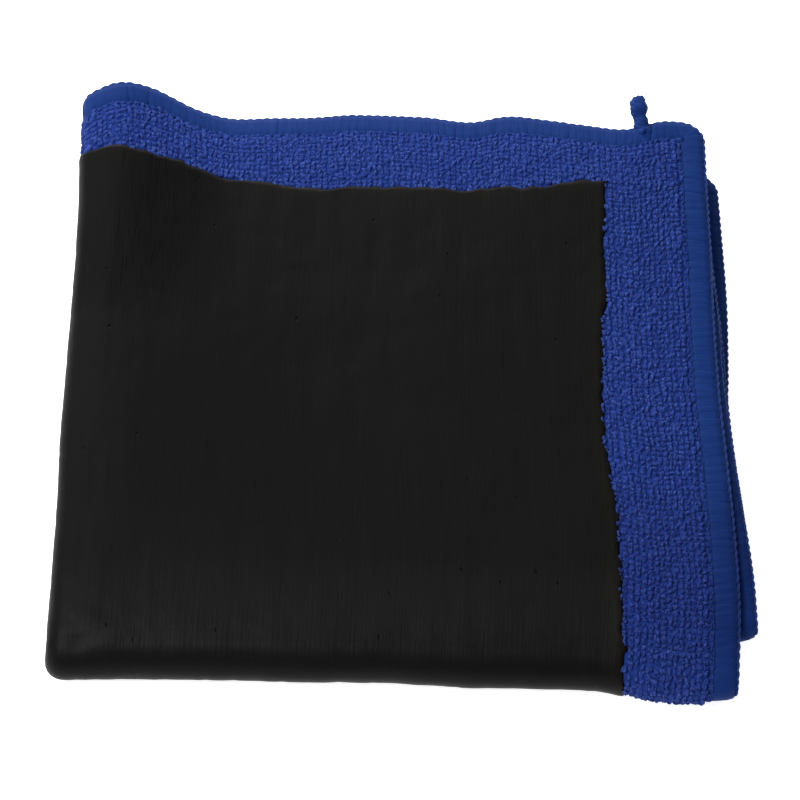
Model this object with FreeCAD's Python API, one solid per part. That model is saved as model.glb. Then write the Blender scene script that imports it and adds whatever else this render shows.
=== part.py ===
"""Clay towel folded into quarters: a square microfibre terry cloth with a thin
sheet of clay compound bonded to one face and an overlocked edge all round.

The cloth is folded twice, clay face outwards.  The first fold runs down the
left side (-X) and joins an outer leaf to an inner leaf, terry against terry.
The second fold runs along the front (-Y) and wraps the doubled cloth over
itself, so four leaves lie on each other: front, front inner, back inner, back.
The free overlocked edges are at +X and +Y.

Frame: X to the right, Y away from the front fold, Z up.  The towel lies on the
plane z = 0 and its bounding box is centred on the origin in X and Y.
"""
import FreeCAD, Part
import math
import os

os.makedirs("parts", exist_ok=True)

# ---- driving dimensions, millimetres --------------------------------------
FLAT = 300.0          # side of the open towel, square
TERRY_T = 2.9         # terry cloth, pile to pile
CLAY_T = 1.0          # bonded clay sheet
PAIR_GAP = 0.3        # terry to terry, inside the first fold
HALF_GAP = 0.15       # each half stands this far off the middle plane
BORDER_X = 24.5       # bare terry beside the clay, left and right edges
BORDER_Y = 18.0       # bare terry beyond the clay, top and bottom edges
EDGE_W = 5.0          # overlock seam, width over the cloth
PURL = 1.0            # thread that stands beyond the cut edge
TONGUE_T = 1.5        # cloth squeezed inside the seam
CORNER_R = 3.0        # rounded corner of the open towel
TAIL_L = 9.0          # loose chain of thread at the end of the seam
TAIL_W = 3.2
TAIL_T = 2.0
TAIL_FROM_CORNER = 14.5

# ---- derived ---------------------------------------------------------------
PAIR_T = PAIR_GAP + 2.0 * (TERRY_T + CLAY_T)   # one doubled half
H = HALF_GAP + PAIR_T / 2.0                    # middle of a pair, from the middle plane
T = 2.0 * (HALF_GAP + PAIR_T)                  # whole stack
R_WRAP = T / 2.0                               # outside of the second fold
R_SIDE = PAIR_T / 2.0                          # outside of the first fold
R_MID = PAIR_GAP / 2.0 + TERRY_T / 2.0         # terry centre line in the first fold

LEAF_X = FLAT / 2.0 - math.pi / 2.0 * R_MID              # flat part of a leaf in X
LEAF_Y = FLAT / 2.0 - math.pi / 2.0 * (H + R_MID)        # flat part of a leaf in Y
WIDTH = R_SIDE + LEAF_X
DEPTH = R_WRAP + LEAF_Y + TAIL_L

XR = WIDTH / 2.0               # free right edge
XL = -WIDTH / 2.0 + R_SIDE     # axis of the first fold
Y0 = -DEPTH / 2.0 + R_WRAP     # axis of the second fold
YT = Y0 + LEAF_Y               # free top edge
XC = XR - BORDER_X             # clay's right edge
YC = YT - BORDER_Y             # clay's top edge

V = FreeCAD.Vector
X_AXIS, Y_AXIS, Z_AXIS = V(1, 0, 0), V(0, 1, 0), V(0, 0, 1)


def box(x0, x1, y0, y1, z0, z1):
    """A box by its limits."""
    return Part.makeBox(x1 - x0, y1 - y0, z1 - z0, V(x0, y0, z0))


def rect_xz(x0, x1, z0, z1, y):
    """A rectangular face in a plane of constant y."""
    pts = [V(x0, y, z0), V(x1, y, z0), V(x1, y, z1), V(x0, y, z1), V(x0, y, z0)]
    return Part.Face(Part.makePolygon(pts))


def half_ring_xz(r0, r1, y):
    """Half an annulus about the first fold's axis, open towards +X."""
    def arc(r):
        return Part.Arc(V(XL, y, H + r), V(XL - r, y, H), V(XL, y, H - r)).toShape()
    edges = [arc(r1), Part.LineSegment(V(XL, y, H - r1), V(XL, y, H - r0)).toShape(),
             arc(r0), Part.LineSegment(V(XL, y, H + r0), V(XL, y, H + r1)).toShape()]
    return Part.Face(Part.Wire(Part.__sortEdges__(edges)))


def wrap(face):
    """Turns a face at y = Y0 a quarter turn about the second fold's axis."""
    solid = face.revolve(V(0, Y0, 0), X_AXIS, 90.0)
    keep = box(-WIDTH, WIDTH, -DEPTH, DEPTH, HALF_GAP, T)
    return solid.common(keep)


def edge_xz(zm, y):
    """Section of the overlock seam on a right edge: a channel, round outside."""
    r = TERRY_T / 2.0
    x0, xc = XR - EDGE_W, XR - r
    edges = [
        Part.LineSegment(V(x0, y, zm - r), V(xc, y, zm - r)).toShape(),
        Part.Arc(V(xc, y, zm - r), V(XR, y, zm), V(xc, y, zm + r)).toShape(),
        Part.LineSegment(V(xc, y, zm + r), V(x0, y, zm + r)).toShape(),
        Part.LineSegment(V(x0, y, zm + r), V(x0, y, zm - r)).toShape(),
    ]
    outer = Part.Face(Part.Wire(edges))
    tongue = rect_xz(x0 - 1.0, XR - PURL, zm - TONGUE_T / 2.0, zm + TONGUE_T / 2.0, y)
    return outer.cut(tongue)


def edge_yz(zm, x):
    """Section of the overlock seam on a top edge."""
    r = TERRY_T / 2.0
    y0, yc = YT - EDGE_W, YT - r
    edges = [
        Part.LineSegment(V(x, y0, zm - r), V(x, yc, zm - r)).toShape(),
        Part.Arc(V(x, yc, zm - r), V(x, YT, zm), V(x, yc, zm + r)).toShape(),
        Part.LineSegment(V(x, yc, zm + r), V(x, y0, zm + r)).toShape(),
        Part.LineSegment(V(x, y0, zm + r), V(x, y0, zm - r)).toShape(),
    ]
    outer = Part.Face(Part.Wire(edges))
    pts = [V(x, y0 - 1.0, zm - TONGUE_T / 2.0), V(x, YT - PURL, zm - TONGUE_T / 2.0),
           V(x, YT - PURL, zm + TONGUE_T / 2.0), V(x, y0 - 1.0, zm + TONGUE_T / 2.0),
           V(x, y0 - 1.0, zm - TONGUE_T / 2.0)]
    return outer.cut(Part.Face(Part.makePolygon(pts)))


def round_corner(z0, z1):
    """What is cut away outside the rounded top right corner."""
    square = box(XR - CORNER_R, XR + 1, YT - CORNER_R, YT + 1, z0, z1)
    disc = Part.makeCylinder(CORNER_R, z1 - z0, V(XR - CORNER_R, YT - CORNER_R, z0), Z_AXIS)
    return square.cut(disc)


def terry_leaf(zm):
    """Flat cloth of one leaf with the thinner margin that the seam holds."""
    r = TERRY_T / 2.0
    body = box(XL, XR - EDGE_W, Y0, YT - EDGE_W, zm - r, zm + r)
    margin = box(XL, XR - PURL, Y0, YT - PURL, zm - TONGUE_T / 2.0, zm + TONGUE_T / 2.0)
    rc = CORNER_R - PURL
    square = box(XR - PURL - rc, XR, YT - PURL - rc, YT, zm - r, zm + r)
    disc = Part.makeCylinder(rc, 2 * r, V(XR - PURL - rc, YT - PURL - rc, zm - r), Z_AXIS)
    return body.fuse(margin.cut(square.cut(disc))).removeSplitter()


def top_edge(zm):
    """Overlock seam along the top of one leaf, up to the corner."""
    return edge_yz(zm, XL).extrude(V(XR - EDGE_W - XL, 0, 0))


def right_edge(zm):
    """Overlock seam down the right of one leaf, round the corner and its wrap."""
    r = TERRY_T / 2.0
    rc = CORNER_R - PURL
    channel = edge_xz(zm, Y0).extrude(V(0, YT - EDGE_W - Y0, 0))
    corner = box(XR - EDGE_W, XR, YT - EDGE_W, YT, zm - r, zm + r)
    inside = box(XR - EDGE_W - 1, XR - PURL, YT - EDGE_W - 1, YT - PURL,
                 zm - TONGUE_T / 2.0, zm + TONGUE_T / 2.0)
    square = box(XR - PURL - rc, XR, YT - PURL - rc, YT, zm - r, zm + r)
    disc = Part.makeCylinder(rc, 2 * r, V(XR - PURL - rc, YT - PURL - rc, zm - r), Z_AXIS)
    corner = corner.cut(inside.cut(square.cut(disc))).cut(round_corner(zm - r - 1, zm + r + 1))
    turn = wrap(edge_xz(zm, Y0))
    return channel.fuse([corner, turn]).removeSplitter()


def upper_half():
    """The doubled cloth above the middle plane, z measured from that plane."""
    zo, zi = H + R_MID, H - R_MID              # centre planes of outer and inner terry
    r = TERRY_T / 2.0
    rt0, rt1 = PAIR_GAP / 2.0, PAIR_GAP / 2.0 + TERRY_T
    rc1 = rt1 + CLAY_T
    tongue0, tongue1 = R_MID - TONGUE_T / 2.0, R_MID + TONGUE_T / 2.0
    out = {}

    # terry
    out["terry_{}_leaf"] = terry_leaf(zo)
    out["terry_{}_inner_leaf"] = terry_leaf(zi)
    strip = half_ring_xz(rt0, rt1, Y0).extrude(V(0, YT - EDGE_W - Y0, 0))
    margin = half_ring_xz(tongue0, tongue1, YT - EDGE_W).extrude(V(0, EDGE_W - PURL, 0))
    corner = wrap(half_ring_xz(rt0, rt1, Y0))
    out["terry_{}_side_fold"] = strip.fuse([margin, corner]).removeSplitter()
    for name, zm in (("terry_{}_end_wrap", zo), ("terry_{}_inner_end_wrap", zi)):
        flat = rect_xz(XL, XR - EDGE_W, zm - r, zm + r, Y0)
        thin = rect_xz(XR - EDGE_W, XR - PURL, zm - TONGUE_T / 2.0, zm + TONGUE_T / 2.0, Y0)
        out[name] = wrap(flat).fuse(wrap(thin)).removeSplitter()

    # clay sheet
    out["clay_{}_leaf"] = box(XL, XC, Y0, YC, zo + r, zo + r + CLAY_T)
    out["clay_{}_inner_leaf"] = box(XL, XC, Y0, YC, zi - r - CLAY_T, zi - r)
    strip = half_ring_xz(rt1, rc1, Y0).extrude(V(0, YC - Y0, 0))
    corner = wrap(half_ring_xz(rt1, rc1, Y0))
    out["clay_{}_side_fold"] = strip.fuse(corner).removeSplitter()
    out["clay_{}_end_wrap"] = wrap(rect_xz(XL, XC, zo + r, zo + r + CLAY_T, Y0))
    out["clay_{}_inner_end_wrap"] = wrap(rect_xz(XL, XC, zi - r - CLAY_T, zi - r, Y0))

    # overlock seam
    out["seam_{}_top"] = top_edge(zo)
    out["seam_{}_inner_top"] = top_edge(zi)
    ring = half_ring_xz(rt0, rt1, YT - EDGE_W).extrude(V(0, EDGE_W, 0))
    hole = half_ring_xz(tongue0, tongue1, YT - EDGE_W - 1).extrude(V(0, EDGE_W - PURL + 1, 0))
    out["seam_{}_top_turn"] = ring.cut(hole)
    out["seam_{}_right"] = right_edge(zo)
    out["seam_{}_inner_right"] = right_edge(zi)
    return out


def thread_tail():
    """Chain of thread that runs off the seam near the corner of the front leaf."""
    zm = H + R_MID
    x = XR - TAIL_FROM_CORNER
    r = TAIL_T / 2.0
    stem = box(x - TAIL_W / 2.0, x + TAIL_W / 2.0, YT - 0.4, YT + TAIL_L - TAIL_W / 2.0, zm - r, zm + r)
    tip = Part.makeCylinder(TAIL_W / 2.0, TAIL_T, V(x, YT + TAIL_L - TAIL_W / 2.0, zm - r), Z_AXIS)
    return stem.fuse(tip).removeSplitter()


half = upper_half()
shapes = {}
for name, solid in half.items():
    shapes[name.format("front")] = solid.translated(V(0, 0, T / 2.0))
    shapes[name.format("back")] = solid.mirror(V(0, 0, 0), Z_AXIS).translated(V(0, 0, T / 2.0))
tail = thread_tail().translated(V(0, 0, T / 2.0))
shapes["thread_tail"] = tail.cut(shapes["seam_front_top"])

lo, hi = V(1e9, 1e9, 1e9), V(-1e9, -1e9, -1e9)
for name in sorted(shapes):
    s = shapes[name]
    if len(s.Solids) == 1:
        s = s.Solids[0]
    b = s.BoundBox
    lo = V(min(lo.x, b.XMin), min(lo.y, b.YMin), min(lo.z, b.ZMin))
    hi = V(max(hi.x, b.XMax), max(hi.y, b.YMax), max(hi.z, b.ZMax))
    print("%-28s solids %d valid %s volume %9.1f mm3" % (name, len(s.Solids) or 1, s.isValid(), s.Volume))
    s.exportStep("parts/%s.step" % name)
print("box", [round(v, 3) for v in lo], [round(v, 3) for v in hi])
print("XL %.3f XR %.3f Y0 %.3f YT %.3f XC %.3f YC %.3f T %.3f H %.3f hinge y %.3f z %.3f" % (
    XL, XR, Y0, YT, XC, YC, T, H, Y0 - R_WRAP - HALF_GAP, T / 2.0))
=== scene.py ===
"""Looks of the folded clay towel: a square terry cloth with a thin black clay sheet on one face, folded in quarters.

Every surface is worked out from the cloth's own flat coordinates. s runs across the side fold and t across the
front fold, both from -150 to 150 mm, and n is the distance off the cloth's middle, clay side positive. The leaf
with s > 0 and t > 0 is the top one (A), s < 0 and t > 0 lies under it (B), s < 0 and t < 0 under that (C), and
s > 0 and t < 0 is the bottom one (D). So the lengths along the cloth are right in every fold.
"""

import math  # noqa: E402

import bpy  # noqa: E402
import numpy as np  # noqa: E402
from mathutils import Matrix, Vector  # noqa: E402


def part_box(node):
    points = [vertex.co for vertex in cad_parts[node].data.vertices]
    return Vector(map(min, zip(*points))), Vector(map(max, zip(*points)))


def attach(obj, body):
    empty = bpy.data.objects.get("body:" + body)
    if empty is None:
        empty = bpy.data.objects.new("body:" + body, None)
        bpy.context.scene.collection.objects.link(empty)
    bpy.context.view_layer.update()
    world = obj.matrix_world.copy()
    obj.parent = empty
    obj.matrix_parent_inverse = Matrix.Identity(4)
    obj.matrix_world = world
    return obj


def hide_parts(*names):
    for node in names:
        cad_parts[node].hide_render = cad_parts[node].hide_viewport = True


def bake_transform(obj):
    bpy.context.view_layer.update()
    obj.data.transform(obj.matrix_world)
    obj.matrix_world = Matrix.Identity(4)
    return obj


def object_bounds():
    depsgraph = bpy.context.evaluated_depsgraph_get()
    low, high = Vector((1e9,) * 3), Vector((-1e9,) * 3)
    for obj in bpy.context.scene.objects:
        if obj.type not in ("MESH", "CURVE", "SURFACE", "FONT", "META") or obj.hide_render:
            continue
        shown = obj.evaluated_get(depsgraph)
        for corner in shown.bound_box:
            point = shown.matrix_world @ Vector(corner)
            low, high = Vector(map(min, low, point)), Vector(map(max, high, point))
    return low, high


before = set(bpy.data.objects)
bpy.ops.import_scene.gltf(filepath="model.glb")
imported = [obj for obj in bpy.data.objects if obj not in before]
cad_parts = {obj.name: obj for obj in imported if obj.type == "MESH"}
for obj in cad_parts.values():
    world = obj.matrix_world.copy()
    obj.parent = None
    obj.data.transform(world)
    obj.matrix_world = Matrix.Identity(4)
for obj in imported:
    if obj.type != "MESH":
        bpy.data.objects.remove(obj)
CAD_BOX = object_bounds()

# ---- sizes, millimetres, read off the frame ---------------------------------
MM = 0.001
HALF = 150.0                                   # half the towel's flat side
TT = 2.9                                       # cloth
TC = 1.0                                       # clay
T = (CAD_BOX[1].z - CAD_BOX[0].z) / MM         # the folded stack
PAIR = T / 2 - 0.15                            # two leaves of cloth and clay
GAP = PAIR - 2 * (TT + TC)
H = T / 2 - PAIR / 2                           # middle of a pair above the stack's middle
RM = GAP / 2 + TT / 2                          # middle of a leaf off its pair's middle
XR = CAD_BOX[1].x / MM
XL = CAD_BOX[0].x / MM + PAIR / 2              # axis of the side folds
Y0 = CAD_BOX[0].y / MM + T / 2                 # axis of the front folds
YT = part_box("seam_front_top")[1].y / MM
LY = YT - Y0
WIDTH = XR - XL + PAIR / 2
SEAM = 5.9                                     # width of the overlocked edge
CORNER = 5.2

# ---- how the folded leaves lie ----------------------------------------------
# Each list is a smooth curve of evenly spaced values in millimetres: "right" along the free side edge from the
# front fold to the far edge, "front" and "top" along the front fold and the far edge from left to right.
LOOP_UPPER = [1.7, 1.7, 1.7, 1.75, 1.8, 1.85, 1.9]       # radius of the puffed side folds, front to far edge
LOOP_LOWER = [1.7, 1.7, 1.75, 1.8, 1.95, 2.2, 2.6]
BULGE = 6.4                                    # how far the upper pair stands off the lower one at its far left corner
LEFT_UPPER = [0.18, 0.7, 1.0, 0.7, 1.0, 1.3, 1.8, 1.5, 0.1]
LEFT_LOWER = [-0.6, -0.4, 0.15, 0.0, 0.2, 0.6, 0.9, 1.0, -0.5]
FRONT_OUTER = [4.09, 4.03, 3.96, 3.9, 3.8, 3.56, 3.3, 3.2, 3.02, 2.46, 1.88, 1.82, 1.49, 0.9, -1.8, -2.4, -1.5]
FRONT_INNER = [4.1, 4.0, 3.8, 3.35, 3.2, 2.6, 3.2, 4.6, 10.2]
LEAVES = {
    "A": dict(
        right=[-1.44, -0.25, -0.23, -0.89, -1.76, -1.92, -1.6, -1.64, -1.31],
        front=FRONT_OUTER,
        top=[-1.0, 2.85, 2.85, -0.25, -1.7, -1.41, -1.3, -0.5, -0.77, -1.32, -2.6, -0.85, -1.95, -3.4, -4.5, -1.8, -2.1],
        drop=(-2.6, -1.5), ease=1.0,
    ),
    "B": dict(
        right=[4.0, 3.6, 2.2, 0.8, -0.3, -0.5, -1.5, -2.5, -3.5],
        front=FRONT_INNER,
        top=[-1.0, -1.0, -1.0, -1.5, -2.0, -2.5, -3.5, -4.5, -5.5],
        drop=(-2.0, -1.3), ease=0.65,
    ),
    "C": dict(
        right=[4.0, 3.9, 2.9, 1.6, 0.8, 0.4, -0.5, -1.5, -2.5],
        front=FRONT_INNER,
        top=[-2.0, -2.0, -2.0, -2.0, -2.5, -3.0, -4.0, -5.0, -6.5],
        drop=(-0.75, -0.95), ease=0.3,
    ),
    "D": dict(
        right=[-1.44, 0.4, 1.0, 0.8, 0.9, 1.9, 2.5, 2.3, 2.0],
        front=FRONT_OUTER,
        top=[-2.0, -2.0, -2.0, -3.0, -4.0, -6.0, -8.0, -9.5, -10.8],
        drop=(-0.33, -0.33), ease=0.0,
    ),
}


def curve(vals, u):
    """Catmull-Rom through evenly spaced values over u = 0..1."""
    v = np.asarray(vals, float)
    n = len(v) - 1
    p = np.clip(np.asarray(u, float), 0, 1) * n
    i = np.minimum(p.astype(int), n - 1)
    f = p - i
    v0 = np.where(i > 0, v[np.maximum(i - 1, 0)], 2 * v[0] - v[1])
    v1, v2 = v[i], v[i + 1]
    v3 = np.where(i < n - 1, v[np.minimum(i + 2, n)], 2 * v[n] - v[n - 1])
    return v1 + 0.5 * f * (v2 - v0 + f * (2 * v0 - 5 * v1 + 4 * v2 - v3 + f * (3 * (v1 - v2) + v3 - v0)))


def smooth(x, a, b):
    u = np.clip((np.asarray(x, float) - a) / (b - a), 0, 1)
    return u * u * (3 - 2 * u)


def noise(x, y, cell, seed):
    """Smooth value noise from -1 to 1 over flat coordinates, the same each run."""
    g = np.random.default_rng(seed).uniform(-1, 1, (128, 128))
    cx, cy = cell if isinstance(cell, tuple) else (cell, cell)
    u, v = np.asarray(x, float) / cx, np.asarray(y, float) / cy
    i, j = np.floor(u).astype(int), np.floor(v).astype(int)
    f, h = u - i, v - j
    f, h = f * f * (3 - 2 * f), h * h * (3 - 2 * h)
    i0, i1, j0, j1 = i % 128, (i + 1) % 128, j % 128, (j + 1) % 128
    return (g[i0, j0] * (1 - f) + g[i1, j0] * f) * (1 - h) + (g[i0, j1] * (1 - f) + g[i1, j1] * f) * h


def fold(s, r):
    """Section of a puffed side fold: distance in from its tip and height off its middle, for arc length s."""
    q = s - r * math.pi / 2
    a = np.minimum(s / r, math.pi / 2)
    down = 0.5 - 0.5 * np.cos(math.pi * np.clip((q - 2.5) / (8.0 + 7.5 * (r - RM)), 0, 1))
    return r * (math.pi / 2 - np.cos(a)) + np.maximum(q, 0), r * np.sin(a) - (r - RM) * down


def middle(s, t):
    """The cloth's middle surface, where it is on the leaves, and how far round the folds."""
    s, t = np.broadcast_arrays(np.asarray(s, float), np.asarray(t, float))
    b = np.clip((np.abs(t) - 6) / (HALF - 6), 0, 1)
    side = np.sign(s) + (s == 0)
    m = np.abs(s)
    halves = []
    for radii in (LOOP_UPPER, LOOP_LOWER):
        r = curve(radii, b)
        x, z = fold(m, r)
        swell = np.where(m < r * math.pi / 2, r - RM, z - RM)
        halves.append((XL - math.pi / 2 * RM + x, side * z, swell))
    (xu, zu, mu), (xl, zl, ml) = halves
    ru = H + zu + mu + 2 * ml
    rl = H + zl - ml
    base = np.where(m < math.pi / 2 * RM, RM * np.sin(s / RM), side * RM)
    quarter = math.pi / 2 * (H + base)
    k = LY / (HALF - quarter)
    turn = np.clip(t / quarter, -1, 1) * math.pi / 2
    up = smooth(t / quarter, -1, 1)
    rho = up * ru + (1 - up) * rl
    X = up * xu + (1 - up) * xl
    Y = Y0 + np.maximum(np.abs(t) - quarter, 0) * k - rho * np.cos(turn)
    Z = rho * np.sin(turn)
    inner = smooth(-base, -RM, RM)
    a = np.clip((X - (XL - PAIR / 2)) / WIDTH, 0, 1)
    bb = np.clip((Y - (Y0 - T / 2)) / (T / 2 + LY), 0, 1)
    fall_x, fall_y = smooth(X, XR - 26, XR), smooth(Y, YT - 19, YT)
    # the leaves come down gently towards both folds before they turn
    ease = (1 - np.clip((X - XL + 1.4) / 13, 0, 1)) ** 2 * 0.9 + 2.5 * (1 - np.clip((Y - Y0 + 1) / 24, 0, 1)) ** 2
    in_from = X - XL + 1.4
    bulge = BULGE * np.clip((bb - 0.6) / 0.4, 0, 1) * smooth(bb, 0.5, 0.75) * (0.86 + 0.14 * smooth(in_from, 0, 10)) * (1 - smooth(in_from, 10, 36))
    dx = dy = 0
    dz = bulge * up
    for leaf, w in (("A", up * (1 - inner)), ("B", up * inner), ("C", (1 - up) * inner), ("D", (1 - up) * (1 - inner))):
        L = LEAVES[leaf]
        left = curve(LEFT_UPPER if leaf in "AB" else LEFT_LOWER, bb)
        p, q = fall_x * L["drop"][0], fall_y * L["drop"][1]
        dx = dx + w * ((1 - a) * left + a * curve(L["right"], bb))
        dy = dy + w * ((1 - bb) * curve(L["front"], a) + bb * curve(L["top"], a))
        dz = dz - w * ((p ** 4 + q ** 4) ** 0.25 + L["ease"] * ease)
    # the stack isn't ironed: broad shallow swells, the same in all four leaves, fading to nothing underneath
    lumps = 0.20 * noise(X + 300, Y + 300, 34, 11) + 0.09 * noise(X + 300, Y + 300, 13, 12)
    dz = dz + lumps * smooth(up, 0.2, 1) * (0.4 + 0.6 * (1 - inner)) * smooth(Y, Y0 - 4, Y0 + 12)
    # the pinched corner where both folds meet
    dz = dz - 0.6 * np.exp(-(((X - XL - 3.5) / 3.2) ** 2) - ((Y - Y0 + 2.5) / 2.2) ** 2) * (1 - inner) * smooth(up, 0.3, 0.8)
    return np.stack([X + dx, Y + dy, Z + dz + T / 2 + 0.12], -1), inner, up


def surface(s, t, n, e=0.05):
    """Points n off the cloth's middle, with how far each turns with the front half when the towel is opened."""
    s, t = np.broadcast_arrays(np.asarray(s, float), np.asarray(t, float))
    p, inner, _ = middle(s, t)
    ds = middle(s + e, t)[0] - middle(s - e, t)[0]
    dt = middle(s, t + e)[0] - middle(s, t - e)[0]
    normal = np.cross(ds, dt)
    normal /= np.linalg.norm(normal, axis=-1, keepdims=True)
    reach = 15 + 10 * smooth(np.abs(s), 60, 150)
    swing = (1 - inner) * smooth(t, -9, 14) + inner * smooth(t, -reach, reach)
    return p + normal * np.asarray(n, float)[..., None], swing


# ---- the clay's outline on the cloth ----------------------------------------
CLAY_TOP = ([0, 6, 12, 17, 21.5, 26.4, 31, 36, 41, 46, 53, 60, 70, 77, 92, 99, 104, 107, 115, 121, 125], [134.6, 132.5, 131.2, 130.9, 131.3, 130.9, 130.2, 130.4, 129.4, 128.1, 127.3, 127.2, 127.0, 127.0, 128.2, 128.0, 126.9, 128.1, 130.4, 131.9, 132.0])
CLAY_SIDE = ([0, 4, 9.3, 14.8, 20, 25.7, 31, 36.6, 42, 46, 50, 58.5, 69, 80, 91, 96.7, 102, 113, 121, 129.5, 134], [126.0, 125.6, 125.2, 124.5, 123.8, 123.8, 124.3, 124.1, 123.4, 123.2, 122.7, 122.6, 122.6, 123.2, 123.9, 124.9, 124.5, 124.7, 125.05, 125.8, 126.0])


def clay_t(s, sign):
    """How far the clay reaches along t, for the front half (sign 1) or the back one."""
    front = np.where(np.asarray(s) > 0, np.interp(np.abs(s), *CLAY_TOP), 130.6 + 3.6 * (1 - smooth(np.abs(s), 0, 9)) - 1.2 * noise(s, 0, 24, 5) * smooth(np.abs(s), 0, 9))
    back = 130.0 + 1.3 * noise(s, 0, 26, 6)
    return np.where(np.asarray(sign) > 0, front, back)


def clay_s(t, sign):
    side = np.where(np.asarray(t) > 0, np.interp(np.abs(t), *CLAY_SIDE), 124.4 + 1.6 * (1 - smooth(-np.asarray(t, float), 0, 9)) + 0.9 * noise(t, 0, 22, 7) * smooth(-np.asarray(t, float), 0, 12))
    hidden = 124.6 + 1.0 * noise(t, 0, 25, 8)
    return np.where(np.asarray(sign) > 0, side, hidden)


def beyond_clay(s, t):
    """Distance outside the clay's outline, negative inside it."""
    rag = 0.3 * noise(s, t, 1.7, 21) + 0.25 * noise(s, t, 4.5, 22)
    return np.maximum(np.abs(s) - clay_s(t, np.sign(s)), np.abs(t) - clay_t(s, np.sign(t))) + rag


# ---- meshes ------------------------------------------------------------------
def build(name, points, quads, tris, material, floats=None, vectors=None, swing=None):
    """A smooth-shaded mesh object from points in millimetres."""
    points = np.asarray(points, float).reshape(-1, 3) * MM
    quads = np.asarray(quads, np.int32).reshape(-1, 4)
    tris = np.asarray(tris, np.int32).reshape(-1, 3)
    mesh = bpy.data.meshes.new(name)
    mesh.vertices.add(len(points))
    mesh.vertices.foreach_set("co", points.astype(np.float32).ravel())
    mesh.loops.add(quads.size + tris.size)
    mesh.loops.foreach_set("vertex_index", np.concatenate([quads.ravel(), tris.ravel()]))
    mesh.polygons.add(len(quads) + len(tris))
    mesh.polygons.foreach_set(
        "loop_start", np.concatenate([np.arange(len(quads)) * 4, quads.size + np.arange(len(tris)) * 3]).astype(np.int32)
    )
    mesh.polygons.foreach_set("use_smooth", np.ones(len(quads) + len(tris), bool))
    mesh.update(calc_edges=True)
    mesh.validate()
    for key, values in (floats or {}).items():
        mesh.attributes.new(key, "FLOAT", "POINT").data.foreach_set("value", np.asarray(values, np.float32).ravel())
    for key, values in (vectors or {}).items():
        mesh.attributes.new(key, "FLOAT_VECTOR", "POINT").data.foreach_set("vector", np.asarray(values, np.float32).ravel())
    mesh.materials.append(material)
    obj = bpy.data.objects.new(name, mesh)
    bpy.context.scene.collection.objects.link(obj)
    if swing is not None:
        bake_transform(obj)
    return obj


def lines(*stops):
    """Grid lines through (value, spacing up to the next value), closer together where the cloth turns."""
    out = []
    for (v0, step), (v1, _) in zip(stops, stops[1:]):
        out.append(np.linspace(v0, v1, max(2, int(round((v1 - v0) / step)) + 1))[:-1])
    return np.concatenate(out + [[stops[-1][0]]])


def slab_faces(nu, nv):
    """Quads of a closed slab: an upper grid, then a lower one, joined round the rim."""
    i = np.arange(nu * nv).reshape(nu, nv)
    upper = np.stack([i[:-1, :-1], i[1:, :-1], i[1:, 1:], i[:-1, 1:]], -1).reshape(-1, 4)
    rim = np.concatenate([i[:, 0], i[-1, 1:], i[-2::-1, -1], i[0, -2:0:-1]])
    nxt = np.roll(rim, -1)
    return np.concatenate([upper, upper[:, ::-1] + nu * nv, np.stack([rim, rim + nu * nv, nxt + nu * nv, nxt], -1)])


def round_corner(s, t, half, r):
    """Pulls a square grid's corners in to a radius."""
    p, q = np.maximum(np.abs(s) - (half - r), 0), np.maximum(np.abs(t) - (half - r), 0)
    s2 = np.where(p > 0, np.sign(s) * (half - r + p * np.sqrt(1 - q * q / (2 * r * r))), s)
    t2 = np.where(q > 0, np.sign(t) * (half - r + q * np.sqrt(1 - p * p / (2 * r * r))), t)
    return s2, t2


def from_edge(s, t):
    """Distance in from the towel's edge, round its corners."""
    p, q = np.abs(s) - (HALF - CORNER), np.abs(t) - (HALF - CORNER)
    both = (p > 0) & (q > 0)
    return np.where(both, CORNER - np.hypot(np.maximum(p, 0), np.maximum(q, 0)), CORNER - np.maximum(p, q))


def tubes(centre, across, rise, sides, caps=True):
    """Points (tube, ring, side, 3) in flat coordinates round each centre line, and their faces."""
    k = np.arange(sides) * 2 * math.pi / sides
    pts = centre[:, :, None] + across[:, :, None] * np.cos(k)[:, None] + rise[:, :, None] * np.sin(k)[:, None]
    m, r = centre.shape[:2]
    i = np.arange(m * r * sides).reshape(m, r, sides)
    j = np.roll(i, -1, 2)
    quads = np.stack([i[:, :-1], j[:, :-1], j[:, 1:], i[:, 1:]], -1).reshape(-1, 4)
    tris = np.zeros((0, 3), int)
    if caps:
        fan = [(0, b, b + 1) for b in range(1, sides - 1)]
        tris = np.concatenate([np.stack([i[:, 0, c], i[:, 0, b], i[:, 0, a]], -1) for a, b, c in fan] + [np.stack([i[:, -1, a], i[:, -1, b], i[:, -1, c]], -1) for a, b, c in fan])
    return pts, quads, tris


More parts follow.
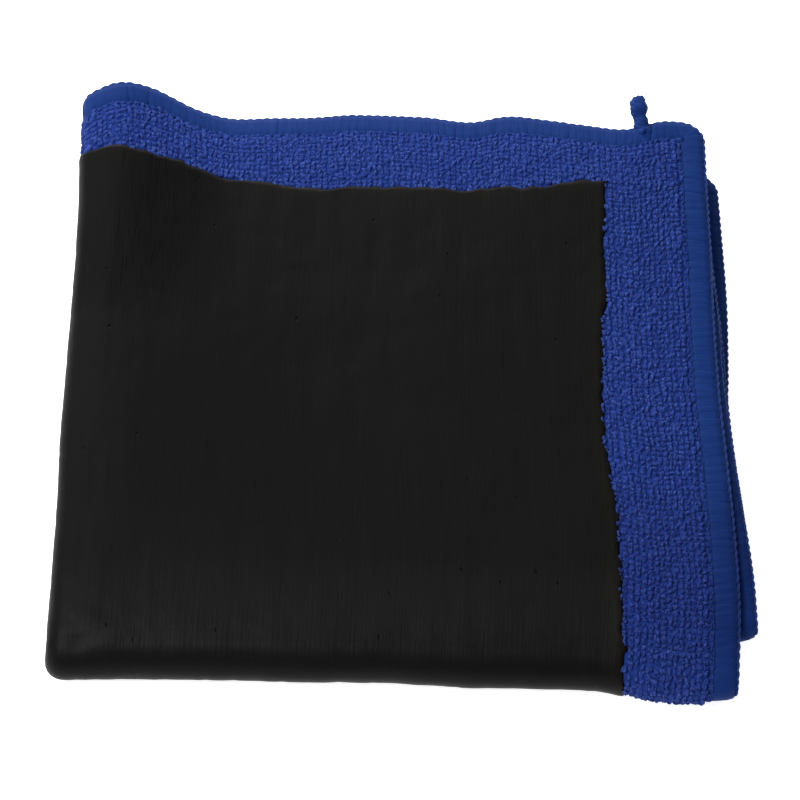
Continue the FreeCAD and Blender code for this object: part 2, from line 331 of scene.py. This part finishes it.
# ---- materials ---------------------------------------------------------------
class Nodes:
    def __init__(self, name, base, **sockets):
        self.m = bpy.data.materials.new(name)
        self.m.use_nodes = True
        self.t = self.m.node_tree
        self.b = self.t.nodes["Principled BSDF"]
        self.b.inputs["Base Color"].default_value = (*base, 1)
        for key, value in sockets.items():
            self.b.inputs[key.replace("_", " ")].default_value = value
        self.m.diffuse_color = (*base, 1)

    def add(self, kind, **props):
        n = self.t.nodes.new("ShaderNode" + kind)
        ins = {k: v for k, v in props.items() if k.startswith("in_")}
        for k, v in props.items():
            if k not in ins:
                setattr(n, k, v)
        for k, v in ins.items():
            key = k[3:]
            self.put(n.inputs[int(key) if key.isdigit() else key.replace("_", " ")], v)
        return n

    def put(self, socket, v):
        if isinstance(v, bpy.types.NodeSocket):
            self.t.links.new(v, socket)
        else:
            socket.default_value = v

    def attribute(self, name, out="Fac"):
        return self.add("Attribute", attribute_type="GEOMETRY", attribute_name=name).outputs[out]

    def math(self, op, a, b=0.0, clamp=False):
        return self.add("Math", operation=op, use_clamp=clamp, in_0=a, in_1=b).outputs[0]

    def noise(self, vector, scale, detail=2.0, rough=0.5):
        return self.add("TexNoise", in_Vector=vector, in_Scale=scale, in_Detail=detail, in_Roughness=rough).outputs["Fac"]

    def stretch(self, vector, scale):
        return self.add("Mapping", in_Vector=vector, in_Scale=scale).outputs[0]

    def ramp(self, fac, *stops):
        n = self.add("ValToRGB", in_Fac=fac)
        e = n.color_ramp.elements
        while len(e) < len(stops):
            e.new(0.5)
        for x, (pos, colour) in zip(e, stops):
            x.position, x.color = pos, (*colour, 1) if len(colour) == 3 else colour
        return n.outputs["Color"]

    def mix(self, fac, a, b, blend="MIX"):
        n = self.add("Mix", data_type="RGBA", blend_type=blend)
        self.put(n.inputs[0], fac)
        self.put(n.inputs[6], a if isinstance(a, bpy.types.NodeSocket) else (*a, 1))
        self.put(n.inputs[7], b if isinstance(b, bpy.types.NodeSocket) else (*b, 1))
        return n.outputs[2]

    def span(self, fac, low, high):
        return self.add("MapRange", in_0=fac, in_3=low, in_4=high).outputs[0]

    def painted_fold_shade(self, at):
        """Painted shade: the colour is drawn up to about a quarter darker in a band beside the front fold, back to full
        by about 70 mm from it.
        """
        t = self.math("ABSOLUTE", self.add("SeparateXYZ", in_Vector=at).outputs[1])
        return self.ramp(self.math("DIVIDE", t, 150.0), (0.03, (0.93, 0.91, 0.93)), (0.11, (0.77, 0.71, 0.77)), (0.26, (0.79, 0.74, 0.79)), (0.34, (0.94, 0.93, 0.94)), (0.45, (1, 1, 1)))

    def bump(self, height, strength, distance, normal=None):
        n = self.add("Bump", in_Height=height, in_Strength=strength, in_Distance=distance)
        if normal is not None:
            self.put(n.inputs["Normal"], normal)
        return n.outputs[0]

    def out(self, **links):
        for key, v in links.items():
            self.put(self.b.inputs[key.replace("_", " ")], v)
        return self.m


def pile_material():
    n = Nodes("terry_pile", (0.0176, 0.0395, 0.205), Roughness=0.8, Specular_IOR_Level=0.07, Sheen_Weight=0.04, Sheen_Roughness=0.4, Sheen_Tint=(0.4, 0.6, 1.0, 1))
    at = n.attribute("cloth_mm", "Vector")
    tip, tone = n.attribute("tip"), n.attribute("tone")
    # painted light: the loops' roots are drawn lighter than their middles to offset the shade between the loops, and
    # their tops lighter still as a painted highlight
    depth = n.ramp(tip, (0.35, (0.0138, 0.0362, 0.215)), (0.6, (0.0130, 0.0342, 0.196)), (0.85, (0.0138, 0.0348, 0.191)), (1.0, (0.0190, 0.0440, 0.221)))
    fibre = n.noise(n.stretch(at, (1.0, 1.0, 1.0)), 5.0, 3.0, 0.6)
    tint = n.mix(n.math("MULTIPLY", tone, 0.45), depth, (0.045, 0.090, 0.37))
    dim = n.mix(n.span(n.noise(at, 0.055, 2.0), 0.0, 0.3), tint, (0.012, 0.033, 0.19))
    # painted highlight: small light glints on the loops' tops
    painted_glint = n.ramp(n.noise(at, 2.1, 2.0, 0.5), (0.58, (0, 0, 0)), (0.70, (1, 1, 1)))
    lit = n.mix(n.math("MULTIPLY", n.math("MULTIPLY", painted_glint, tip), 0.75), dim, (0.095, 0.145, 0.47))
    colour = n.mix(n.span(fibre, 0.0, 0.3), lit, (0.55, 0.55, 0.6), "MULTIPLY")
    # painted shade beside the front fold
    colour = n.mix(1.0, colour, n.painted_fold_shade(at), "MULTIPLY")
    return n.out(Base_Color=colour, Normal=n.bump(fibre, 0.4, 0.00012))


def ground_material():
    """The knitted ground under the pile, and the cloth's plain terry face."""
    n = Nodes("terry_ground", (0.0085, 0.022, 0.13), Roughness=0.9, Specular_IOR_Level=0.06, Sheen_Weight=0.04, Sheen_Roughness=0.5, Sheen_Tint=(0.4, 0.6, 1.0, 1))
    at = n.attribute("cloth_mm", "Vector")
    side = n.attribute("pile_side")
    cells = n.add("TexVoronoi", in_Vector=n.stretch(at, (0.72, 0.68, 0.6)), in_Scale=1.0, in_Randomness=0.75).outputs["Distance"]
    fine = n.noise(at, 3.2, 3.0, 0.6)
    loops = n.math("SUBTRACT", 1.0, cells, True)
    lit = n.ramp(loops, (0.2, (0.003, 0.009, 0.07)), (0.62, (0.014, 0.033, 0.18)), (0.95, (0.034, 0.065, 0.28)))
    colour = n.mix(side, n.mix(n.span(fine, 0.0, 0.6), lit, (0.6, 0.6, 0.6), "MULTIPLY"), (0.0124, 0.0342, 0.205))
    height = n.math("ADD", n.math("MULTIPLY", loops, 1.0), n.math("MULTIPLY", fine, 0.35))
    return n.out(Base_Color=colour, Normal=n.bump(height, 1.0, 0.0007))


def thread_material(name="overlock_thread", lift=1.0):
    n = Nodes(name, (0.0045, 0.030, 0.155), Roughness=0.6, Specular_IOR_Level=0.045, Sheen_Weight=0.03, Sheen_Roughness=0.4, Sheen_Tint=(0.4, 0.6, 1.0, 1))
    lay = n.attribute("lay", "Vector")
    tone = n.attribute("tone")
    ply = n.noise(n.stretch(lay, (9.0, 0.55, 1.0)), 1.0, 3.0, 0.6)
    fuzz = n.noise(n.attribute("cloth_mm", "Vector"), 2.4, 3.0, 0.65)
    base = n.ramp(ply, (0.25, tuple(lift * x for x in (0.0056, 0.0250, 0.134))), (0.6, tuple(lift * x for x in (0.0064, 0.0280, 0.145))), (0.9, tuple(lift * x for x in (0.0080, 0.0320, 0.158))))
    colour = n.mix(n.math("MULTIPLY", tone, 0.6), base, (0.034, 0.078, 0.31))
    colour = n.mix(n.span(fuzz, 0.0, 0.18), colour, (0.55, 0.55, 0.6), "MULTIPLY")
    # painted shade beside the front fold
    colour = n.mix(1.0, colour, n.painted_fold_shade(n.attribute("cloth_mm", "Vector")), "MULTIPLY")
    return n.out(Base_Color=colour, Normal=n.bump(n.math("ADD", ply, n.math("MULTIPLY", fuzz, 0.5)), 0.55, 0.00018))


def clay_material():
    n = Nodes("black_clay", (0.0050, 0.0050, 0.0049), Roughness=0.46, Specular_IOR_Level=0.047)
    at = n.attribute("cloth_mm", "Vector")
    rim = n.attribute("rim")
    ribs = n.noise(n.stretch(at, (1.5, 0.06, 1.0)), 1.0, 3.0, 0.55)            # ribs of the cloth showing through, along t
    fine = n.noise(n.stretch(at, (3.2, 0.5, 1.0)), 1.0, 2.0, 0.5)
    broad = n.noise(n.stretch(at, (0.03, 0.022, 1.0)), 1.0, 2.0, 0.5)
    cell = n.add("TexVoronoi", in_Vector=n.stretch(at, (0.16, 0.11, 1.0)), in_Scale=1.0, in_Randomness=1.0).outputs["Distance"]
    pits = n.ramp(cell, (0.035, (0, 0, 0)), (0.075, (1, 1, 1)))
    skin = n.noise(at, 1.1, 4.0, 0.6)
    dark_streaks = n.ramp(n.noise(n.stretch(at, (2.3, 0.13, 1.0)), 1.0, 2.0, 0.5), (0.56, (0, 0, 0)), (0.66, (1, 1, 1)))
    dark_streaks = n.math("MULTIPLY", dark_streaks, n.attribute("streak_mask"))                       # darker fine streaks along t, sunk a little by the bump, beside the side fold and near the clay's outer side edge
    shade = n.ramp(ribs, (0.3, (0.0040, 0.0040, 0.0039)), (0.7, (0.0049, 0.0049, 0.0048)))
    shade = n.mix(n.span(broad, 0.0, 0.5), shade, (0.0053, 0.0052, 0.0050))
    shade = n.mix(n.math("MULTIPLY", rim, 0.55), shade, (0.0095, 0.0080, 0.0064))
    shade = n.mix(n.math("MULTIPLY", dark_streaks, 0.6), shade, (0.0012, 0.0012, 0.0012))
    colour = n.mix(0.8, shade, pits, "MULTIPLY")
    # painted shade and highlight on the clay, carried by the tone attribute
    colour = n.mix(1.0, colour, n.attribute("tone"), "MULTIPLY")
    height = n.math("ADD", n.math("MULTIPLY", ribs, 0.5), n.math("MULTIPLY", fine, 0.22))
    height = n.math("ADD", height, n.math("MULTIPLY", skin, 0.2))
    height = n.math("ADD", height, n.math("MULTIPLY", pits, 0.5))
    height = n.math("SUBTRACT", height, n.math("MULTIPLY", dark_streaks, 0.45))
    rough = n.math("ADD", n.span(skin, 0.38, 0.50), n.math("MULTIPLY", broad, 0.06))
    return n.out(Base_Color=colour, Roughness=rough, Normal=n.bump(height, 0.55, 0.00025))


PILE, GROUND, THREAD, CLAY = pile_material(), ground_material(), thread_material(), clay_material()

# ---- the cloth ----------------------------------------------------------------
EDGE_IN = 0.6                                  # the cloth ends this far inside the overlocked edge
su = lines((-HALF + EDGE_IN, 0.8), (-144, 2.0), (-26, 1.2), (-11, 0.45), (11, 1.2), (26, 2.0), (144, 0.8), (HALF - EDGE_IN, 1))
tv = lines((-HALF + EDGE_IN, 0.8), (-144, 2.0), (-30, 1.2), (-11, 0.55), (12, 1.2), (30, 2.0), (144, 0.8), (HALF - EDGE_IN, 1))
s, t = (x.copy() for x in np.meshgrid(su, tv, indexing="ij"))
s, t = round_corner(s, t, HALF - EDGE_IN, CORNER - EDGE_IN)
depth = from_edge(s, t)
under_clay = smooth(-beyond_clay(s, t), -0.6, 0.8)
thin = smooth(depth, SEAM - 0.8, SEAM + 1.4)
top = 0.62 + 0.79 * thin - 0.04 * thin * under_clay
low = -0.62 - (TT / 2 - 0.62) * thin
upper, w0 = surface(s, t, top)
lower, w1 = surface(s, t, low)
flat3 = np.stack([s, t, np.zeros(s.shape)], -1).reshape(-1, 3)
cloth = build(
    "terry_cloth", np.concatenate([upper.reshape(-1, 3), lower.reshape(-1, 3)]), slab_faces(*s.shape), [], GROUND,
    floats={"pile_side": np.concatenate([np.ones(s.size), np.zeros(s.size)])},
    vectors={"cloth_mm": np.concatenate([flat3 + [0, 0, 1], flat3])},
    swing=np.concatenate([w0.ravel(), w1.ravel()]),
)

# ---- the clay -----------------------------------------------------------------
cu = lines((-1.0, 0.0038), (-0.985, 0.0122), (-0.21, 0.0092), (-0.088, 0.0038), (0.088, 0.0092), (0.21, 0.0122), (0.985, 0.0038), (1.0, 1))
cv = lines((-1.0, 0.0038), (-0.985, 0.0116), (-0.21, 0.0086), (-0.088, 0.0046), (0.092, 0.0086), (0.21, 0.0116), (0.985, 0.0038), (1.0, 1))
u, v = np.meshgrid(cu, cv, indexing="ij")
s = u * clay_s(v * 130, np.sign(u) + (u == 0))
t = v * clay_t(u * 124, np.sign(v) + (v == 0))
inside = np.minimum((1 - np.abs(u)) * 124, (1 - np.abs(v)) * 130)
near = smooth(-inside, -2.5, 0)
s = s + near * (0.65 * noise(s, t, 1.9, 31) + 0.35 * noise(s, t, 6.5, 32))
t = t + near * (0.65 * noise(s, t, 1.9, 33) + 0.35 * noise(s, t, 6.5, 34))
shoulder = np.sqrt(np.clip(inside / 1.3, 0, 1) * (2 - np.clip(inside / 1.3, 0, 1)))
film = 1.55 + 0.9 * shoulder + 0.05 * noise(s, t, 3.1, 35) * shoulder + 0.07 * noise(s, t, (1.9, 16), 36) * shoulder
film = film - 0.10 * smooth(noise(s, t, 2.3, 37), 0.62, 0.9) * shoulder
upper, w0 = surface(s, t, film)
lower, w1 = surface(s, t, np.full(s.shape, 1.22))
flat3 = np.stack([s, t, np.zeros(s.shape)], -1).reshape(-1, 3)
rim_value = np.concatenate([smooth(-inside, -4.2, -0.2).ravel(), np.ones(s.size)])
# where the clay gets darker fine streaks: beside the side fold, strongest towards the far edge, and near the clay's
# outer side edge
streak_mask = smooth(np.abs(s), 6, 11) * (1 - smooth(np.abs(s), 17, 30)) * (0.25 + 0.75 * smooth(np.abs(t), 70, 112)) + 0.35 * smooth(np.abs(s), 112, 121)
# painted light on the clay: up to 36 % darker over the part beside the side fold, away from the front fold (painted
# shade), and up to 34 % lighter in a band about 7 to 29 mm behind the front fold (painted highlight)
far, low_t = smooth(np.abs(s), 25, 95), np.abs(t)
tone = 1 - 0.36 * (1 - far) * smooth(np.abs(s), 10, 18) * smooth(low_t, 16, 50) + 0.34 * (0.25 + 0.75 * far) * smooth(low_t, 7, 13) * (1 - smooth(low_t, 21, 29))
clay = build(
    "clay_sheet", np.concatenate([upper.reshape(-1, 3), lower.reshape(-1, 3)]), slab_faces(*s.shape), [], CLAY,
    floats={"rim": rim_value * 0.6, "streak_mask": np.concatenate([streak_mask.ravel()] * 2), "tone": np.concatenate([tone.ravel()] * 2)},
    vectors={"cloth_mm": np.concatenate([flat3, flat3])},
    swing=np.concatenate([w0.ravel(), w1.ravel()]),
)

# ---- the pile: a loop of yarn in every cell of the border --------------------
PITCH_S, PITCH_T = 1.34, 1.27
RINGS, SIDES = 5, 5


def pile(name, s_sign, t_sign, strip, seed, tall=1.0):
    """One leaf's border strip: the side one along the free side edge, or the top one above the clay."""
    rng = np.random.default_rng(seed)
    gs = np.arange(0.35, HALF - SEAM + 1, PITCH_S) * s_sign
    gt = np.arange(0.30, HALF - SEAM + 1, PITCH_T) * t_sign
    s0, t0 = (x.ravel() for x in np.meshgrid(gs, gt, indexing="ij"))
    s0 = s0 + rng.normal(0, 0.11, s0.shape) * (0.5 + 0.5 * smooth(np.abs(t0), 15, 60)) + 0.2 * noise(s0, t0, 7, seed + 1)
    t0 = t0 + rng.normal(0, 0.13, s0.shape) + 0.25 * noise(s0, t0, 7, seed + 2)
    out = beyond_clay(s0, t0)
    keep = (out > rng.uniform(-1.0, 0.1, s0.shape)) & (from_edge(s0, t0) > SEAM - 0.25)
    keep &= (np.abs(s0) > 124) == (strip == "side")
    s0, t0 = s0[keep], t0[keep]
    proud = (0.38 * smooth(-out[keep], -1.2, 0.3))[:, None]          # the last loops stand up against the clay's edge
    m = len(s0)
    brink = smooth(-from_edge(s0, t0), -SEAM - 1.9, -SEAM - 0.2)       # and the last ones by the seam are drawn down
    size = rng.uniform(0.88, 1.15, m) * (1 + 0.08 * noise(s0, t0, 9, seed + 3))
    facing = np.where(rng.random(m) < 0.75, rng.normal(math.pi / 2, 0.32, m), rng.normal(0, 0.4, m))
    span = 0.50 * size
    height = rng.uniform(0.40, 0.56, m) * tall * (1 - 0.35 * brink)
    lean = rng.normal(0, 0.22, (m, 2))
    k = np.linspace(0, math.pi, RINGS)
    x = -np.cos(k) * span[:, None] * (0.72 + 0.38 * np.sin(k))
    rise = np.sin(k) ** 0.8 * height[:, None]
    sway = np.sin(k) * rng.normal(0, 0.14, (m, 1)) + np.cos(k) * rng.normal(0, 0.12, (m, 1))
    cs, sn = np.cos(facing)[:, None], np.sin(facing)[:, None]
    cen = np.stack([s0[:, None] + x * cs - sway * sn + lean[:, :1] * rise, t0[:, None] + x * sn + sway * cs + lean[:, 1:] * rise, 1.08 + rise + proud - 0.34 * brink[:, None]], -1)
    tan = np.gradient(cen, axis=1)
    tan /= np.linalg.norm(tan, axis=-1, keepdims=True)
    wide = np.stack([-sn + 0 * x, cs + 0 * x, 0 * x], -1)
    wide -= tan * (wide * tan).sum(-1, keepdims=True)
    wide /= np.linalg.norm(wide, axis=-1, keepdims=True)
    other = np.cross(tan, wide)
    # each loop is a yarn of two plies turned round each other
    ply = rng.normal(0, 0.5, (m, 1)) + rng.choice([-1.0, 1.0], (m, 1)) * (k - math.pi / 2) * 0.42
    r = (0.31 + 0.06 * np.sin(k)) * size[:, None] * rng.uniform(0.92, 1.1, (m, 1))
    sets = []
    for sign in (-1, 1):
        axis = wide * np.cos(ply)[..., None] + other * np.sin(ply)[..., None]
        c = cen + sign * axis * (0.25 * size)[:, None, None]
        sets.append((c, wide * r[..., None], other * r[..., None] * 0.85))
    cen, across, rising = (np.concatenate([one[i] for one in sets]) for i in range(3))
    pts, quads, tris = tubes(cen, across, rising, SIDES)
    p, swing = surface(pts[..., 0], pts[..., 1], pts[..., 2])
    tip = np.clip((pts[..., 2] - 1.0) / 0.95, 0, 1)
    tone = np.broadcast_to((np.tile(rng.beta(1.5, 3.4, m), 2) + rng.normal(0, 0.05, 2 * m)).clip(0, 1)[:, None, None], tip.shape)
    coords = np.stack([pts[..., 0], pts[..., 1], pts[..., 2]], -1)
    return build(name, p, quads, tris, PILE, floats={"tip": tip, "tone": tone}, vectors={"cloth_mm": coords}, swing=swing)


piles = [
    pile("pile_" + leaf + "_" + strip, s_sign, t_sign, strip, seed + 10 * (strip == "side"), tall)
    for leaf, s_sign, t_sign, seed, tall in (("front", 1, 1, 101, 1.0), ("front_inner", -1, 1, 201, 0.9), ("back_inner", -1, -1, 301, 0.9), ("back", 1, -1, 401, 0.9))
    for strip in ("top", "side")
]

# ---- the overlocked edge ------------------------------------------------------
ARC = math.pi / 2 * CORNER
STRAIGHT = 2 * (HALF - CORNER)
ROUND = 4 * (STRAIGHT + ARC)


def edge(p, w):
    """Flat coordinates p millimetres round the towel's edge and w in from it, with the directions along and inward."""
    p = np.mod(p, ROUND)
    k = np.minimum((p / (STRAIGHT + ARC)).astype(int), 3)
    q = p - k * (STRAIGHT + ARC)
    c = HALF - CORNER
    a = np.clip(q - STRAIGHT, 0, ARC) / CORNER
    on = q < STRAIGHT
    w = np.where(on, w, np.minimum(w, CORNER - 0.05))
    x = np.where(on, q - STRAIGHT / 2, c + (CORNER - w) * np.sin(a))
    y = np.where(on, HALF - w, c + (CORNER - w) * np.cos(a))
    ax, ay = np.where(on, 1.0, np.cos(a)), np.where(on, 0.0, -np.sin(a))
    turn = -k * math.pi / 2
    cs, sn = np.cos(turn), np.sin(turn)
    return np.stack([x * cs - y * sn, x * sn + y * cs], -1), np.stack([ax * cs - ay * sn, ax * sn + ay * cs], -1)


def join(parts):
    """Several tube sets in flat coordinates as one: points, faces and their attributes."""
    pts, quads, tris, tone, lay, base = [], [], [], [], [], 0
    for p, q, r, o, l in parts:
        pts.append(p.reshape(-1, 3))
        quads.append(q + base)
        tris.append(r + base)
        tone.append(np.broadcast_to(o, p.shape[:-1]).ravel())
        lay.append(l.reshape(-1, 3))
        base += p.shape[0] * p.shape[1] * p.shape[2]
    return np.concatenate(pts), np.concatenate(quads), np.concatenate(tris), np.concatenate(tone), np.concatenate(lay)


def overlock(name, p0, p1, seed):
    """Legs of looper thread over both faces, the purl along the edge, and the needle stitches."""
    rng = np.random.default_rng(seed)
    parts = []
    # legs: each goes from the needle line over the upper face, round the edge and back along the lower face
    pitch = 0.98
    p = np.arange(p0, p1, pitch)
    m = len(p)
    w = np.array([SEAM + 0.55, SEAM - 0.15, 4.0, 1.9, 0.65, 0.34, 0.65, 1.9, 4.0, SEAM - 0.15, SEAM + 0.55])
    n = np.array([0.45, 0.98, 1.08, 1.08, 0.84, 0.0, -0.84, -1.08, -1.08, -0.98, -0.45])
    slant = np.where(np.arange(m) % 2, 0.22, -0.18)[:, None] * (np.abs(w - 2.4) * np.sign(2.4 - w) / 2.6) + rng.normal(0, 0.05, (m, 1)) + rng.normal(0, 0.03, (m, len(w)))
    pp = p[:, None] + slant
    ww = w + rng.normal(0, 0.16, (m, 1)) * (w > 4) + rng.normal(0, 0.03, (m, len(w)))
    nn = n * (1 + rng.normal(0, 0.018, (m, 1))) + 0.03 * np.sin(p / 7.0)[:, None] * np.sign(n)
    st, along = edge(pp, ww)
    cen = np.concatenate([st, nn[..., None]], -1)
    tan = np.gradient(cen, axis=1)
    tan /= np.maximum(np.linalg.norm(tan, axis=-1, keepdims=True), 1e-9)
    wide = np.concatenate([along, np.zeros(along.shape[:-1] + (1,))], -1)
    wide -= tan * (wide * tan).sum(-1, keepdims=True)
    wide /= np.linalg.norm(wide, axis=-1, keepdims=True)
    up = np.cross(tan, wide)
    body = rng.uniform(0.92, 1.1, (m, 1, 1)) * np.ones((1, len(w), 1))
    pts, quads, tris = tubes(cen, wide * 1.0 * body, up * 0.15 * body, 6)
    k = np.arange(6) * 2 * math.pi / 6
    lay = np.stack([np.broadcast_to(np.cos(k) * 0.6 + rng.uniform(0, 40, m)[:, None, None], pts.shape[:-1]), np.broadcast_to(np.arange(len(w))[:, None] * 1.3, pts.shape[:-1]), np.zeros(pts.shape[:-1])], -1)
    tone = 0.10 * rng.random(m)[:, None, None] + 0.10 * (np.abs(w) < 0.6)[None, :, None]
    parts.append((pts, quads, tris, tone, lay))
    # purl: two looper threads locked round each other along the very edge
    q = np.arange(p0 - 0.4, p1 + 0.4, 0.34)
    for phase in (0.0, math.pi):
        a = q * math.pi / 2.05 + phase + 0.35 * noise(q, 0, 9, seed + 4)
        swell = 1 + 0.16 * noise(q, 0, 2.1, seed + 5)
        st, along = edge(q, 0.14 - 0.21 * np.cos(a) * swell)
        cen = np.concatenate([st, (0.30 * np.sin(a) * swell)[:, None]], -1)[None]
        tan = np.gradient(cen, axis=1)
        tan /= np.linalg.norm(tan, axis=-1, keepdims=True)
        lift = np.array([0, 0, 1.0]) - tan * tan[..., 2:]
        lift /= np.linalg.norm(lift, axis=-1, keepdims=True)
        out = np.cross(tan, lift)
        pts, quads, tris = tubes(cen, out * 0.38, lift * 0.38, 6)
        k = np.arange(6) * 2 * math.pi / 6
        lay = np.stack([np.broadcast_to(k * 0.4, pts.shape[:-1]), np.broadcast_to(q[:, None] * 1.0, pts.shape[:-1]), np.zeros(pts.shape[:-1])], -1)
        parts.append((pts, quads, tris, 0.55, lay))
    # needle stitches on both faces, just on the terry's side
    q = np.arange(p0 + 1.0, p1, 2.0)
    m = len(q)
    for face in (1, -1):
        run = np.linspace(-0.86, 0.86, 5)
        jit = rng.normal(0, 0.09, (m, 1))
        st, along = edge(q[:, None] + run, SEAM - 0.12 + jit + 0.10 * np.cos(run * 3))
        cen = np.concatenate([st, np.broadcast_to(face * (1.02 + 0.14 * np.cos(run * 1.75))[None, :, None], st.shape[:-1] + (1,))], -1)
        tan = np.concatenate([along, np.zeros(along.shape[:-1] + (1,))], -1)
        lift = np.broadcast_to(np.array([0, 0, 1.0]), tan.shape)
        out = np.cross(tan, lift)
        fat = np.array([0.12, 0.25, 0.28, 0.25, 0.12])[None, :, None]
        pts, quads, tris = tubes(cen, out * fat, lift * fat, 5)
        k = np.arange(5) * 2 * math.pi / 5
        lay = np.stack([np.broadcast_to(k * 0.3, pts.shape[:-1]), np.broadcast_to(run[:, None] * 1.0, pts.shape[:-1]), np.zeros(pts.shape[:-1])], -1)
        parts.append((pts, quads, tris, 0.25, lay))
    pts, quads, tris, tone, lay = join(parts)
    where, swing = surface(pts[:, 0], pts[:, 1], pts[:, 2])
    return build(name, where, quads, tris, THREAD, floats={"tone": tone}, vectors={"cloth_mm": pts, "lay": lay}, swing=swing)


half = STRAIGHT / 2
side = STRAIGHT + ARC
seams = [
    overlock("overlock_front", half, side + half, 501),                              # top edge of A, corner, right edge of A
    overlock("overlock_back", side + half, 2 * side + half, 502),                    # right edge of D, corner, its top edge
    overlock("overlock_back_inner", 2 * side + half, 3 * side + half, 503),
    overlock("overlock_front_inner", 3 * side + half, 4 * side + half, 504),
]


# ---- the loose end of the overlock chain ---------------------------------------
def tail():
    """The chained thread left at the end of the overlocking: two strands twisted round a third, ending in a blunt tuft."""
    root, _ = surface(np.array(135.0), np.array(149.0), np.array(0.2))
    way = np.array([[0.5, -1.2, 0], [0.1, 1.0, 0.25], [-0.5, 2.9, 0.7], [-0.75, 5.0, 1.2], [-0.6, 7.0, 1.5], [0.15, 8.5, 1.5]])
    q = np.linspace(0, 1, 40)
    line = np.stack([curve(way[:, i], q) for i in range(3)], -1) + root
    tan = np.gradient(line, axis=0)
    tan /= np.linalg.norm(tan, axis=-1, keepdims=True)
    side_v = np.cross(tan, [0, 0, 1.0])
    side_v /= np.linalg.norm(side_v, axis=-1, keepdims=True)
    up_v = np.cross(side_v, tan)
    bulk = np.interp(q, [0, 0.12, 0.3, 0.45, 0.62, 0.76, 0.9, 1], [1.7, 1.35, 1.55, 1.3, 1.75, 1.62, 1.1, 0.8])
    parts = []
    for i in range(4):
        a = q * 2 * math.pi * 2.3 + i * math.pi / 2
        off = 0.62 * bulk * (1 + 0.15 * np.sin(7 * q + i))
        cen = (line + side_v * (np.cos(a) * off * 1.15)[:, None] + up_v * (np.sin(a) * off * 0.75)[:, None])[None]
        d = np.gradient(cen[0], axis=0)
        d /= np.linalg.norm(d, axis=-1, keepdims=True)
        o = np.cross(d, [0.1, 0.05, 1.0])
        o /= np.linalg.norm(o, axis=-1, keepdims=True)
        r = (0.58 * bulk * (1 + 0.14 * np.sin(q * 34 + 2 * i)))[None, :, None]
        pts, quads, tris = tubes(cen, o[None] * r, np.cross(o, d)[None] * r, 8)
        k = np.arange(8) * 2 * math.pi / 8
        lay = np.stack([np.broadcast_to(k * 0.5, pts.shape[:-1]), np.broadcast_to(q[:, None] * 10, pts.shape[:-1]), np.zeros(pts.shape[:-1])], -1)
        parts.append((pts, quads, tris, 0.12, lay))
    pts, quads, tris, tone, lay = join(parts)
    obj = build("thread_tail_chain", pts, quads, tris, THREAD, floats={"tone": tone}, vectors={"cloth_mm": pts, "lay": lay})
    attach(obj, "upper_half")
    return obj


chain = tail()

# ---- the CAD's own pieces are hidden where the cloth, clay, seams and tail stand for them ---
nodes = sorted(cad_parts)
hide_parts(*[n for n in nodes if n.startswith("terry_")])
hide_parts(*[n for n in nodes if n.startswith("clay_")])
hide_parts("seam_front_top", "seam_front_right", "seam_front_top_turn")
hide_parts("seam_back_top", "seam_back_right", "seam_back_top_turn")
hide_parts("seam_back_inner_top", "seam_back_inner_right")
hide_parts("seam_front_inner_top", "seam_front_inner_right")
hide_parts("thread_tail")

# ---- floor, light and camera -----------------------------------------------------
floor_mesh = bpy.data.meshes.new("floor")
floor_mesh.from_pydata([(-3, -3, 0), (3, -3, 0), (3, 3, 0), (-3, 3, 0)], [], [(0, 1, 2, 3)])
floor = bpy.data.objects.new("floor", floor_mesh)
bpy.context.scene.collection.objects.link(floor)
white = Nodes("pale_floor", (0.92, 0.92, 0.92), Roughness=0.9, Specular_IOR_Level=0.0, Emission_Color=(1, 1, 1, 1), Emission_Strength=0.85)
floor_mesh.materials.append(white.m)

world = bpy.data.worlds.new("studio")
world.use_nodes = True
world.node_tree.nodes["Background"].inputs[0].default_value = (1, 1, 1, 1)
# the room is brighter behind and to the left
sky = world.node_tree
ways = sky.nodes.new("ShaderNodeTexCoord")
lean = sky.nodes.new("ShaderNodeVectorMath")
lean.operation = "DOT_PRODUCT"
lean.inputs[1].default_value = (-0.12, 0.17, 0.0)
level = sky.nodes.new("ShaderNodeMath")
level.operation = "ADD"
level.inputs[1].default_value = 0.35
sky.links.new(ways.outputs["Generated"], lean.inputs[0])
sky.links.new(lean.outputs["Value"], level.inputs[0])
sky.links.new(level.outputs[0], sky.nodes["Background"].inputs[1])
bpy.context.scene.world = world


def softbox(name, at, aim, size, power):
    data = bpy.data.lights.new(name, "AREA")
    data.shape, data.size, data.size_y, data.energy = "RECTANGLE", size[0], size[1], power
    obj = bpy.data.objects.new(name, data)
    obj.location = at
    obj.rotation_euler = (Vector(aim) - Vector(at)).to_track_quat("-Z", "Y").to_euler()
    bpy.context.scene.collection.objects.link(obj)
    return obj


softbox("key", (-0.25, -0.14, 0.54), (0.0, 0.0, 0.0), (0.26, 0.26), 3.35)
softbox("rear", (-0.14, 0.44, 0.19), (0.0, 0.0, 0.0), (0.36, 0.20), 2.3)

lens = bpy.data.cameras.new("camera")
lens.sensor_width, lens.lens = 36.0, 129.9
lens.clip_start, lens.clip_end = 0.01, 20
camera = bpy.data.objects.new("camera", lens)
camera.location = (0.0016, -0.0063 - 0.66 * math.cos(math.radians(60)), 0.008 + 0.66 * math.sin(math.radians(60)))
camera.rotation_euler = (math.radians(30), 0, 0)
bpy.context.scene.collection.objects.link(camera)
bpy.context.scene.camera = camera
bpy.context.scene.view_settings.view_transform = "Standard"
bpy.context.scene.view_settings.look = "None"
